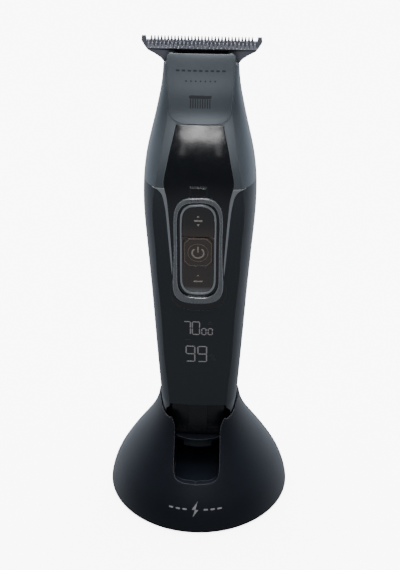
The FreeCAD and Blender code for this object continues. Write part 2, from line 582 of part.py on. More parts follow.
bell = new_body("motor_end_bell")
sk = sketch(bell, "bell_sketch", offset="Dims.motor_low")
add_circle(sk, "Dims.motor_dia / 2 - Dims.can_wall")
pad(bell, sk, "Dims.bell_thick", "bell_disc")
DOC.recompute()
sk = sketch(bell, "bell_hole_sketch", offset="Dims.motor_low")
add_circle(sk, "Dims.bush_dia / 2")
pocket(bell, sk, "Dims.bell_thick + 1", "bell_hole", True)

bushes = []
for nm, z in (("low", "Dims.motor_low + Dims.bell_thick - Dims.bush_long"), ("top", "Dims.motor_low + Dims.motor_long - 1")):
    o = cyl("bush_%s_out" % nm, "Dims.bush_dia / 2", "Dims.bush_long", (0, 0, z))
    i = cyl("bush_%s_in" % nm, "Dims.bush_bore / 2", 10, (0, 0, z + " - 3"))
    bushes.append(cut("bush_%s" % nm, o, i))
node(group("bush_pair", bushes), "motor_bushings")

node(cyl("motor_shaft_rod", "Dims.shaft_dia / 2", "Dims.shaft_top - Dims.shaft_low", (0, 0, "Dims.shaft_low")), "motor_shaft")

rot = new_body("rotor_core")
sk = sketch(rot, "rotor_sketch", offset="Dims.rotor_low")
add_circle(sk, "Dims.rotor_dia / 2")
pad(rot, sk, "Dims.rotor_long", "rotor_stack")
DOC.recompute()
sk = sketch(rot, "rotor_bore_sketch", offset="Dims.rotor_low")
add_circle(sk, "Dims.shaft_dia / 2")
pocket(rot, sk, "Dims.rotor_long + 1", "rotor_bore", True)
DOC.recompute()
sk = sketch(rot, "rotor_slot_sketch", offset="Dims.rotor_low")
add_rect(sk, "Dims.rotor_slot_near", "Dims.rotor_slot_far", "-Dims.rotor_slot_half", "Dims.rotor_slot_half")
slot = pocket(rot, sk, "Dims.rotor_long + 1", "rotor_slot", True)
DOC.recompute()
pat = rot.newObject("PartDesign::PolarPattern", "rotor_slots")
pat.Originals = [slot]
pat.Axis = ([f for f in rot.Origin.OriginFeatures if f.Role == "Z_Axis"][0], [""])
pat.Angle = 360
pat.Occurrences = 3
rot.Tip = pat

com_o = cyl("comm_outer", "Dims.comm_dia / 2", "Dims.comm_long", (0, 0, "Dims.rotor_low - Dims.comm_long - 0.3"))
com_i = cyl("comm_inner", "Dims.shaft_dia / 2", 20, (0, 0, 100))
node(cut("comm_ring", com_o, com_i), "commutator")

cam = new_body("eccentric_cam")
sk = sketch(cam, "cam_sketch", offset="Dims.cam_low")
add_circle(sk, "Dims.cam_dia / 2")
pad(cam, sk, "Dims.cam_thick", "cam_disc")
DOC.recompute()
sk = sketch(cam, "cam_bore_sketch", offset="Dims.cam_low")
add_circle(sk, "Dims.shaft_dia / 2")
pocket(cam, sk, "Dims.cam_thick - 0.6", "cam_bore", True)
DOC.recompute()
sk = sketch(cam, "cam_pin_sketch", offset="Dims.cam_low + Dims.cam_thick")
add_circle(sk, "Dims.cam_pin_dia / 2", cy="Dims.cam_throw")
pad(cam, sk, "Dims.cam_pin_top - Dims.cam_low - Dims.cam_thick", "cam_pin")

BL, BT = G("bracket_low"), G("bracket_thick")
EX, EY = G("ear_x"), -1.0
brk = form(2.0).common(block(-40, 40, -9.5, 9.5, BL, BL + BT))
for s in (-1, 1):
    brk = brk.fuse(Part.makeCylinder(2.6, SEAM_HEAD - BL, V(s * EX, EY, BL)))
brk = brk.cut(Part.makeCylinder(3.1, 10, V(0, 0, BL - 5)))
for s in (-1, 1):
    brk = brk.cut(Part.makeCylinder(1.15, 20, V(s * EX, EY, BL - 5)))
    brk = brk.cut(Part.makeCylinder(G("motor_screw_dia") / 2, 10, V(s * G("motor_screw_x"), 0, BL - 5)))
feature("motor_bracket", solids_only(brk))

ms = []
for s, nm in ((1, "right"), (-1, "left")):
    sx = "Dims.motor_screw_x" if s > 0 else "-Dims.motor_screw_x"
    a = cyl("motor_screw_rod_" + nm, "Dims.motor_screw_dia / 2", "Dims.bracket_thick + Dims.can_wall", (sx, 0, "Dims.bracket_low - Dims.can_wall"))
    b = cyl("motor_screw_head_" + nm, "Dims.motor_screw_dia", 1.0, (sx, 0, "Dims.bracket_low + Dims.bracket_thick"))
    ms.append(fuse("motor_screw_" + nm, [a, b]))
node(group("motor_screw_pair", ms), "motor_screws")

hs = []
for s, nm in ((1, "right"), (-1, "left")):
    sx = "Dims.ear_x" if s > 0 else "-Dims.ear_x"
    a = cyl("head_screw_rod_" + nm, "Dims.housing_screw_dia / 2", 13.0, (sx, EY, "Dims.bracket_low"))
    b = cyl("head_screw_head_" + nm, "Dims.housing_screw_head / 2", 1.3, (sx, EY, "Dims.bracket_low - 1.3"))
    hs.append(fuse("head_screw_" + nm, [a, b]))
node(group("head_screw_pair", hs), "head_screws")

# ---------------------------------------------------------------- blades
BF, BTK = G("blade_front"), G("blade_thick")
TT, TR, TP = G("tooth_tip"), G("tooth_root"), G("tooth_pitch")

def comb(half, wide_tooth, gap, pitch, tip, root, flat):
    # tooth line from right to left
    n = int((2 * (half - wide_tooth - gap)) / pitch)
    x0 = n * pitch / 2.0
    pts = [(half, root), (half - 0.15, tip), (half - wide_tooth + 0.15, tip), (half - wide_tooth, root), (x0 + 0.0, root)] if wide_tooth > 0 else [(x0, root)]
    for k in range(n):
        a = x0 - k * pitch
        b = a - pitch
        m = (a + b) / 2
        pts += [(a - 0.14 * pitch, root), (m + flat / 2, tip), (m - flat / 2, tip), (b + 0.14 * pitch, root)]
    if wide_tooth > 0:
        pts += [(-x0, root), (-half + wide_tooth, root), (-half + wide_tooth - 0.15, tip), (-half + 0.15, tip), (-half, root)]
    else:
        pts += [(-x0, root)]
    return pts

wing = [(19.95, 181.1), (19.75, 180.7), (19.0, 179.4), (18.0, 178.0), (15.6, 176.7), (13.6, 175.3), (12.6, 174.0), (11.7, 172.4), (11.6, 163.6), (10.4, 162.0)]
pts = comb(20.0, 1.7, 1.0, TP, TT, TR, 0.34)
full = pts + [(-x, z) for x, z in wing] + [(x, z) for x, z in reversed(wing)]
blade = polygon_xz(full, BF, BTK)
# rear face ground thinner towards the tips
wedge = Part.Face(Part.makePolygon([V(-25, BF + BTK, 179.2), V(-25, BF + BTK + 2, 179.2), V(-25, BF + BTK + 2, 184), V(-25, BF + 0.55, 184), V(-25, BF + BTK, 179.2)])).extrude(V(50, 0, 0))
blade = blade.cut(wedge)
SX, SZ = G("blade_screw_x"), G("blade_screw_z")
for s in (-1, 1):
    blade = blade.cut(Part.makeCylinder(G("blade_screw_dia") / 2, 10, V(s * SX, BF - 1, SZ), V(0, 1, 0)))
feature("fixed_blade", solids_only(blade))

CF, CT = G("cutter_front"), G("cutter_thick")
cp = comb(18.3, 0, 0, 1.3, G("cutter_tip"), G("cutter_root"), 0.4)
xe = cp[0][0]
low = [(xe, 178.9), (xe - 1.2, 178.6), (9.2, 178.4), (8.0, 177.4), (8.0, 170.8), (7.2, G("cutter_low"))]
cutter = polygon_xz(cp + [(-x, z) for x, z in low] + list(reversed(low)), CF, CT)
feature("moving_blade", solids_only(cutter))

bs = []
for s, nm in ((1, "right"), (-1, "left")):
    a = Part.makeCylinder(G("blade_screw_dia") / 2, 5.0, V(s * SX, BF + BTK - 5.0, SZ), V(0, 1, 0))
    b = Part.makeCylinder(G("blade_screw_head") / 2, 1.1, V(s * SX, BF + BTK, SZ), V(0, 1, 0))
    c = Part.makeBox(3.0, 0.6, 0.6, V(s * SX - 1.5, BF + BTK + 0.6, SZ - 0.3))
    d = Part.makeBox(0.6, 0.6, 3.0, V(s * SX - 0.3, BF + BTK + 0.6, SZ - 1.5))
    bs.append(a.fuse(b).cut(c).cut(d))
feature("blade_screws", Part.makeCompound(bs))

mount = block(-10.4, 10.4, -1.0, BF, 161.3, 169.2).cut(block(-4.0, 4.0, -2.0, 0.6, 150, 180)).common(form(1.95))
for s in (-1, 1):
    mount = mount.cut(Part.makeCylinder(G("blade_screw_dia") / 2, 5.0, V(s * SX, BF + BTK - 5.0, SZ), V(0, 1, 0)))
feature("blade_mount", solids_only(mount))

FL, FT, FH, FD = G("fork_low"), G("fork_tall"), G("fork_slot_half"), G("fork_slot_deep")
fork = block(-5.4, 5.4, -3.8, 3.8, FL, FL + FT).cut(block(-FH, FH, -FD / 2, FD / 2, FL - 1, FL + FT + 1))
prof = [(-3.6, FL + FT - 2.0), (-3.6, FL + FT + 1.4), (-2.6, 153.4), (-2.4, 165.0), (-0.9, 172.5), (0.4, 175.6), (CF, 175.6), (CF, 171.2), (0.3, 169.7), (0.3, 154.4), (-2.3, FL + FT + 0.6), (-2.3, FL + FT - 2.0)]
stem = Part.Face(Part.makePolygon([V(-2.8, y, z) for y, z in prof] + [V(-2.8, prof[0][0], prof[0][1])])).extrude(V(5.6, 0, 0))
feature("cutter_yoke", solids_only(fork.fuse(stem)))

def wire_form(pts, r):
    s = None
    for k in range(len(pts) - 1):
        a, b = V(*pts[k]), V(*pts[k + 1])
        c = Part.makeCylinder(r, (b - a).Length, a, b - a)
        s = c if s is None else s.fuse(c)
        if k:
            s = s.fuse(Part.makeSphere(r, a))
    s = s.fuse(Part.makeSphere(r, V(*pts[0]))).fuse(Part.makeSphere(r, V(*pts[-1])))
    return s

sp = [(-6, 1.15, 172.3), (-6, -1.6, 169.6), (-6, -1.6, 160.3), (-6, 1.1, 158.7), (6, 1.1, 158.7), (6, -1.6, 160.3), (6, -1.6, 169.6), (6, 1.15, 172.3)]
feature("blade_spring", solids_only(wire_form(sp, 0.4)))

pads = []
for s, nm in ((1, "right"), (-1, "left")):
    sx = "Dims.pin_pitch / 2" if s > 0 else "-Dims.pin_pitch / 2"
    pads.append(cyl("pad_" + nm, "Dims.pad_dia / 2", "Dims.pad_thick", (sx, -6.0, "Dims.pad_low")))
node(group("pad_pair", pads), "charge_pads")

# ---------------------------------------------------------------- dock
def bell_profile(off_low, off_top, z_low, z_top_extra=0.0):
    pts = []
    n = len(BELL)
    for i in range(n):
        z, r = G("bell%02d_level" % i), G("bell%02d_rad" % i)
        j0, j1 = max(i - 1, 0), min(i + 1, n - 1)
        dz = G("bell%02d_level" % j1) - G("bell%02d_level" % j0)
        dr = G("bell%02d_rad" % j1) - G("bell%02d_rad" % j0)
        L = math.hypot(dz, dr)
        nx, nz = dz / L, -dr / L
        t = (z - G("bell00_level")) / (G("rim_high") - G("bell00_level"))
        k = max(0.0, (t - 0.7) / 0.3)
        off = off_low + (off_top - off_low) * k
        pts.append((r - off * nx, z - off * nz))
    return pts

def bell_solid(off_low, off_top, z_low=None, z_top=None):
    pts = bell_profile(off_low, off_top, z_low)
    vs = [V(r, 0, z) for r, z in pts]
    c = Part.BSplineCurve()
    c.interpolate(vs)
    zb, zt = pts[0][1], pts[-1][1]
    zb2 = zb if z_low is None else min(zb, z_low)
    zt2 = zt if z_top is None else max(zt, z_top)
    edges = [c.toShape()]
    if zt2 > zt + 1e-6:
        edges.append(Part.makeLine(vs[-1], V(vs[-1].x, 0, zt2)))
    edges.append(Part.makeLine(V(vs[-1].x, 0, zt2), V(0, 0, zt2)))
    edges.append(Part.makeLine(V(0, 0, zt2), V(0, 0, zb2)))
    edges.append(Part.makeLine(V(0, 0, zb2), V(vs[0].x, 0, zb2)))
    if zb2 < zb - 1e-6:
        edges.append(Part.makeLine(V(vs[0].x, 0, zb2), vs[0]))
    return Part.Face(Part.Wire(edges)).revolve(V(0, 0, 0), V(0, 0, 1), 360)

DW = G("dock_wall")
bell_out = bell_solid(0.0, 0.0)
bell_in = bell_solid(DW, 1.2, z_low=-2.0, z_top=45.0)
bell_lin = bell_solid(DW + 0.1, 1.3, z_low=-2.0, z_top=45.0)
socket = form(-G("socket_gap")).common(block(-40, 40, -40, 40, G("cap_bottom") - 0.1, 60))
shell = bell_out.cut(bell_in)
BR = G("boss_ring") / math.sqrt(2.0)
for sx in (-1, 1):
    for sy in (-1, 1):
        shell = shell.fuse(Part.makeCylinder(G("boss_dia") / 2, 28, V(sx * BR, sy * BR, G("plate_low") + G("plate_thick"))).common(bell_solid(0.4, 0.4)))
for sx in (-1, 1):
    for sy in (-1, 1):
        shell = shell.cut(Part.makeCylinder(G("dock_screw_dia") / 2, 9.0, V(sx * BR, sy * BR, 1.2)))
shell = shell.cut(socket)
SH, SL, RH = G("slot_half"), G("slot_low"), G("rim_high")
slot_pts = [(15.2, RH + 0.6), (14.3, RH - 0.2), (12.9, RH - 1.1), (11.2, RH - 2.2), (9.9, RH - 3.6), (9.0, RH - 5.2), (SH, RH - 7.2),
            (SH, 30.0), (SH, 26.0), (SH, 22.4), (SH - 0.25, 20.6), (SH - 0.9, 19.2), (SH - 2.1, 18.5), (SH - 4.4, 18.15), (0.0, SL)]
slot_cut = outline(slot_pts, True, -45.0, -0.9)
shell = shell.cut(slot_cut)
iw, it, iz, im = G("inlet_wide"), G("inlet_tall"), G("inlet_low"), G("inlet_mouth")

def rounded_bar(w, h, y0, y1, zc):
    r = h / 2.0
    b = Part.makeBox(w - h, y1 - y0, h, V(-(w - h) / 2, y0, zc - r))
    return b.fuse(Part.makeCylinder(r, y1 - y0, V((w - h) / 2, y0, zc), V(0, 1, 0))).fuse(
        Part.makeCylinder(r, y1 - y0, V(-(w - h) / 2, y0, zc), V(0, 1, 0))).removeSplitter()

zc = iz + it / 2
shell = shell.cut(rounded_bar(iw + 0.7, it + 0.7, 27.0, 40.0, zc))
feature("dock_shell", solids_only(shell))

usb = rounded_bar(iw, it, im - G("inlet_deep"), im, zc).cut(rounded_bar(iw - 0.6, it - 0.6, im - G("inlet_deep") + 1.0, im + 1, zc))
usb = usb.fuse(Part.makeBox(6.2, G("inlet_deep") - 1.6, 0.7, V(-3.1, im - G("inlet_deep") + 0.2, zc - 0.35)))
feature("dock_power_inlet", solids_only(usb))

plate = new_body("dock_base_plate")
sk = sketch(plate, "plate_sketch", offset="Dims.plate_low")
add_circle(sk, "Dims.plate_dia / 2")
pad(plate, sk, "Dims.plate_thick", "plate_disc")
DOC.recompute()
sk = sketch(plate, "stand_sketch", offset="Dims.plate_low + Dims.plate_thick")
add_rect(sk, "-Dims.stand_half", "Dims.stand_half", "Dims.stand_near", "Dims.stand_far")
pad(plate, sk, "Dims.dpcb_low - Dims.plate_low - Dims.plate_thick", "board_stand")
DOC.recompute()
sk = sketch(plate, "foot_pocket_sketch", offset="Dims.plate_low")
add_circle(sk, "Dims.foot_pocket / 2", cx="Dims.foot_ring")
fp = pocket(plate, sk, "Dims.foot_height - Dims.plate_low", "foot_pocket_cut", True)
DOC.recompute()
pat = plate.newObject("PartDesign::PolarPattern", "foot_pockets")
pat.Originals = [fp]
pat.Axis = ([f for f in plate.Origin.OriginFeatures if f.Role == "Z_Axis"][0], [""])
pat.Angle = 360
pat.Occurrences = 4
plate.Tip = pat
DOC.recompute()
sk = sketch(plate, "screw_sink_sketch", offset="Dims.plate_low")
for sx in (-1, 1):
    for sy in (-1, 1):
        add_circle(sk, "Dims.dock_screw_head / 2 + Dims.sink_gap", cx="Dims.boss_side", cy="Dims.boss_side", sx=sx, sy=sy)
pocket(plate, sk, "Dims.sink_deep", "screw_sinks", True)
DOC.recompute()
sk = sketch(plate, "screw_hole_sketch", offset="Dims.plate_low")
for sx in (-1, 1):
    for sy in (-1, 1):
        add_circle(sk, "Dims.dock_screw_dia / 2 + 0.1", cx="Dims.boss_side", cy="Dims.boss_side", sx=sx, sy=sy)
pocket(plate, sk, "Dims.plate_thick + 1", "screw_holes", True)

bal = new_body("dock_ballast")
sk = sketch(bal, "ballast_sketch", offset="Dims.ballast_low")
add_circle(sk, "Dims.ballast_dia / 2")
pad(bal, sk, "Dims.ballast_thick", "ballast_disc")
DOC.recompute()
sk = sketch(bal, "ballast_bore_sketch", offset="Dims.ballast_low")
add_circle(sk, "Dims.ballast_bore / 2")
pocket(bal, sk, "Dims.ballast_thick + 1", "ballast_hole", True)

node(box("dock_pcb_box", "Dims.dpcb_wide", "Dims.dpcb_long", "Dims.dpcb_thick", ("-Dims.dpcb_wide / 2", "Dims.dpcb_near", "Dims.dpcb_low")), "dock_pcb")

feet = []
for k, (ex, ey) in enumerate((("Dims.foot_ring", 0), (0, "Dims.foot_ring"), ("-Dims.foot_ring", 0), (0, "-Dims.foot_ring"))):
    feet.append(cyl("foot_%d" % k, "Dims.foot_dia / 2", "Dims.foot_height", (ex, ey, 0)))
node(group("feet_four", feet), "dock_feet")

ds = []
k = 0
for sx in ("", "-"):
    for sy in ("", "-"):
        a = cyl("dock_screw_rod_%d" % k, "Dims.dock_screw_dia / 2", 8.6, (sx + "Dims.boss_side", sy + "Dims.boss_side", "Dims.plate_low + 0.3"))
        b = cyl("dock_screw_head_%d" % k, "Dims.dock_screw_head / 2", "Dims.sink_deep - 0.1", (sx + "Dims.boss_side", sy + "Dims.boss_side", "Dims.plate_low + 0.1"))
        ds.append(fuse("dock_screw_%d" % k, [a, b]))
        k += 1
node(group("dock_screw_four", ds), "dock_screws")

CTp, CTh = G("cradle_top"), G("cradle_thick")
TH, TW, TL, TB = G("tub_half"), G("tub_wall"), G("tub_low"), G("tub_back")
disc = Part.makeCylinder(G("cradle_dia") / 2, CTh, V(0, 0, CTp - CTh))
tub = block(-TH, TH, -40, TB, TL, CTp - CTh).cut(block(-TH + TW, TH - TW, -41, TB - TW, TL + TW, 60))
tub = tub.common(bell_lin)
rear = bell_lin.common(block(-40, 40, 2.0, 40, CTp - CTh, 40.7))
cradle = disc.fuse(tub).fuse(rear)
cradle = cradle.cut(socket)
PY = -6.0
for s in (-1, 1):
    cradle = cradle.cut(Part.makeCylinder(G("barrel_dia") / 2, 20, V(s * G("pin_pitch") / 2, PY, 20)))
feature("dock_cradle", solids_only(cradle))

BH = G("block_half")
cb = block(-BH, BH, -G("block_front"), -G("block_back"), G("block_low"), CTp - CTh)
# front face rounded about the dock's centre
cb = cb.common(Part.makeCylinder(G("block_front"), 30, V(0, 0, 10)))
for s in (-1, 1):
    cb = cb.cut(Part.makeCylinder(G("barrel_dia") / 2, 20, V(s * G("pin_pitch") / 2, PY, 20)))
feature("dock_contact_block", solids_only(cb))

bars = []
for s, nm in ((1, "right"), (-1, "left")):
    sx = "Dims.pin_pitch / 2" if s > 0 else "-Dims.pin_pitch / 2"
    a = cyl("barrel_out_" + nm, "Dims.barrel_dia / 2", "Dims.cradle_top - Dims.barrel_low", (sx, PY, "Dims.barrel_low"))
    b = cyl("barrel_in_" + nm, "Dims.barrel_bore / 2", 10, (sx, PY, "Dims.barrel_low + 0.4"))
    bars.append(cut("barrel_" + nm, a, b))
    p = cyl("pin_rod_" + nm, "Dims.pin_dia / 2", "Dims.pin_top - Dims.pin_low - 0.4", (sx, PY, "Dims.pin_low"))
    q = cone("pin_nose_" + nm, "Dims.pin_dia / 2", 0.35, 0.4, (sx, PY, "Dims.pin_top - 0.4"))
    node(fuse("pin_" + nm, [p, q]), "contact_pin_" + nm)
node(group("barrel_pair", bars), "contact_barrels")

# ---------------------------------------------------------------- final checks and files
DOC.recompute()
bad = []
for o in DOC.Objects:
    if "Invalid" in o.State or "Error" in o.State:
        bad.append("%s state %s" % (o.Name, o.State))
for o, label in NODES:
    sh = o.Shape
    if sh.isNull() or not sh.isValid() or sh.Volume <= 0:
        bad.append("%s shape not usable" % label)
    if o.Label != label:
        bad.append("%s label became %s" % (label, o.Label))
for b_ in bad:
    print("BAD", b_)
if bad:
    raise SystemExit("model not written: %d faults" % len(bad))
os.makedirs("parts", exist_ok=True)
for o, label in NODES:
    sh = o.Shape
    bb = sh.BoundBox
    print("%-20s solids %d vol %9.2f  x %.2f..%.2f y %.2f..%.2f z %.2f..%.2f" % (
        label, len(sh.Solids), sh.Volume, bb.XMin, bb.XMax, bb.YMin, bb.YMax, bb.ZMin, bb.ZMax))
    sh.exportStep("parts/%s.step" % label)
print(len(NODES), "nodes written")
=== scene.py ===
import bpy, bmesh, math
import numpy as np
from mathutils import Vector, Matrix
from mathutils.bvhtree import BVHTree


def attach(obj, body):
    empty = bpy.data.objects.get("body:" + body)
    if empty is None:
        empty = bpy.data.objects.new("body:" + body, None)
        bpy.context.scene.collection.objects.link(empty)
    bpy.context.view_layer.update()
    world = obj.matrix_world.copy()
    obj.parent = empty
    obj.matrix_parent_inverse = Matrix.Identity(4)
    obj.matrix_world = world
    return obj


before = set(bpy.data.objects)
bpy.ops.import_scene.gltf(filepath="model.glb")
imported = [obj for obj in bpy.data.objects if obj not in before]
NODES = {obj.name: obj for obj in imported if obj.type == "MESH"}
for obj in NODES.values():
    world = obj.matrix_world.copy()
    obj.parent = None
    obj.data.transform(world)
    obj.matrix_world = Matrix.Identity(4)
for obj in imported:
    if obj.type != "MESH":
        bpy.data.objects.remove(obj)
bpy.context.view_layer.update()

S = 0.001
sc = bpy.context.scene

# ------------------------------------------------------------------ camera
AZ, PITCH, ROLL = math.radians(2.4), math.radians(30.89), math.radians(0.33)
CAM_D, CAM_H, FOCAL = 0.3792, 0.3162, 1204.4
cam_d = bpy.data.cameras.new("cam")
cam_d.sensor_fit = "VERTICAL"
cam_d.sensor_width = 36.0
cam_d.sensor_height = 36.0
cam_d.lens = FOCAL / 570.0 * 36.0
cam_d.clip_start = 0.01
cam = bpy.data.objects.new("cam", cam_d)
sc.collection.objects.link(cam)
cam.matrix_world = (Matrix.Translation((CAM_D * math.sin(AZ), -CAM_D * math.cos(AZ), CAM_H))
                    @ Matrix.Rotation(AZ, 4, "Z") @ Matrix.Rotation(math.pi / 2 - PITCH, 4, "X") @ Matrix.Rotation(ROLL, 4, "Z"))
sc.camera = cam

# ------------------------------------------------------------------ materials
def material(name, base, rough, metal=0.0, spec=0.5, coat=0.0, coat_rough=0.08, other=None, grain=3000.0, grain_mix=0.35,
             blotch=70.0, rough_vary=0.08, bump=0.12, bump_depth=0.00003, stretch=(1, 1, 1), edge=None, edge_size=0.00025,
             emit=None, emit_strength=0.0, fade=None):
    """Fine grain in colour, roughness and height, slow cloudy variation, and lighter edges where asked for: partly edge
    wear, partly a painted highlight.
    """
    m = bpy.data.materials.new(name)
    m.use_nodes = True
    t = m.node_tree
    N, L = t.nodes, t.links
    b = N["Principled BSDF"]
    b.inputs["Metallic"].default_value = metal
    b.inputs["Specular IOR Level"].default_value = spec
    b.inputs["Coat Weight"].default_value = coat
    b.inputs["Coat Roughness"].default_value = coat_rough
    co = N.new("ShaderNodeTexCoord")
    mp = N.new("ShaderNodeMapping")
    mp.inputs["Scale"].default_value = stretch
    L.new(co.outputs["Object"], mp.inputs["Vector"])
    fine = N.new("ShaderNodeTexNoise")
    fine.inputs["Scale"].default_value = grain
    fine.inputs["Detail"].default_value = 3.0
    fine.inputs["Roughness"].default_value = 0.6
    L.new(mp.outputs["Vector"], fine.inputs["Vector"])
    slow = N.new("ShaderNodeTexNoise")
    slow.inputs["Scale"].default_value = blotch
    slow.inputs["Detail"].default_value = 4.0
    L.new(co.outputs["Object"], slow.inputs["Vector"])
    if other is None:
        other = tuple(min(1.0, c * 1.35 + 0.001) for c in base)
    both = N.new("ShaderNodeMath"); both.operation = "MULTIPLY_ADD"
    both.inputs[1].default_value = grain_mix
    L.new(fine.outputs["Fac"], both.inputs[0])
    half = N.new("ShaderNodeMath"); half.operation = "MULTIPLY"
    half.inputs[1].default_value = 1.0 - grain_mix
    L.new(slow.outputs["Fac"], half.inputs[0])
    L.new(half.outputs[0], both.inputs[2])
    mix = N.new("ShaderNodeMix"); mix.data_type = "RGBA"
    mix.inputs["A"].default_value = (*base, 1)
    mix.inputs["B"].default_value = (*other, 1)
    L.new(both.outputs[0], mix.inputs["Factor"])
    colour = mix.outputs["Result"]
    # on the cutter this second tone is painted shade of the head cavity
    if fade is not None:            # a second tone toward one end of the piece: (low z, high z, colour), in millimetres
        sep = N.new("ShaderNodeSeparateXYZ")
        L.new(co.outputs["Object"], sep.inputs[0])
        ramp = N.new("ShaderNodeMapRange")
        ramp.interpolation_type = "SMOOTHSTEP"
        ramp.inputs["From Min"].default_value = fade[0] * S
        ramp.inputs["From Max"].default_value = fade[1] * S
        ramp.inputs["To Min"].default_value = 1.0
        ramp.inputs["To Max"].default_value = 0.0
        L.new(sep.outputs["Z"], ramp.inputs["Value"])
        fm = N.new("ShaderNodeMix"); fm.data_type = "RGBA"
        fm.inputs["B"].default_value = (*fade[2], 1)
        L.new(ramp.outputs["Result"], fm.inputs["Factor"])
        L.new(colour, fm.inputs["A"])
        colour = fm.outputs["Result"]
    # lighter colour on edges found with a bevel normal: partly wear, partly a painted highlight along the edges
    if edge is not None:
        bev = N.new("ShaderNodeBevel")
        bev.samples = 4
        bev.inputs["Radius"].default_value = edge_size
        geo = N.new("ShaderNodeNewGeometry")
        dot = N.new("ShaderNodeVectorMath"); dot.operation = "DOT_PRODUCT"
        L.new(bev.outputs["Normal"], dot.inputs[0])
        L.new(geo.outputs["Normal"], dot.inputs[1])
        edge_wear_and_highlight = N.new("ShaderNodeMapRange")
        edge_wear_and_highlight.inputs["From Min"].default_value = 0.99
        edge_wear_and_highlight.inputs["From Max"].default_value = 0.86
        L.new(dot.outputs["Value"], edge_wear_and_highlight.inputs["Value"])
        em = N.new("ShaderNodeMix"); em.data_type = "RGBA"
        em.inputs["B"].default_value = (*edge, 1)
        L.new(edge_wear_and_highlight.outputs["Result"], em.inputs["Factor"])
        L.new(colour, em.inputs["A"])
        colour = em.outputs["Result"]
    L.new(colour, b.inputs["Base Color"])
    rr = N.new("ShaderNodeMapRange")
    rr.inputs["From Min"].default_value = 0.3
    rr.inputs["From Max"].default_value = 0.7
    rr.inputs["To Min"].default_value = max(0.02, rough - rough_vary)
    rr.inputs["To Max"].default_value = min(1.0, rough + rough_vary)
    L.new(both.outputs[0], rr.inputs["Value"])
    L.new(rr.outputs["Result"], b.inputs["Roughness"])
    bp = N.new("ShaderNodeBump")
    bp.inputs["Strength"].default_value = bump
    bp.inputs["Distance"].default_value = bump_depth
    L.new(fine.outputs["Fac"], bp.inputs["Height"])
    if edge is not None:
        L.new(bev.outputs["Normal"], bp.inputs["Normal"])
    L.new(bp.outputs["Normal"], b.inputs["Normal"])
    if emit is not None:
        b.inputs["Emission Color"].default_value = (*emit, 1)
        b.inputs["Emission Strength"].default_value = emit_strength
    return m


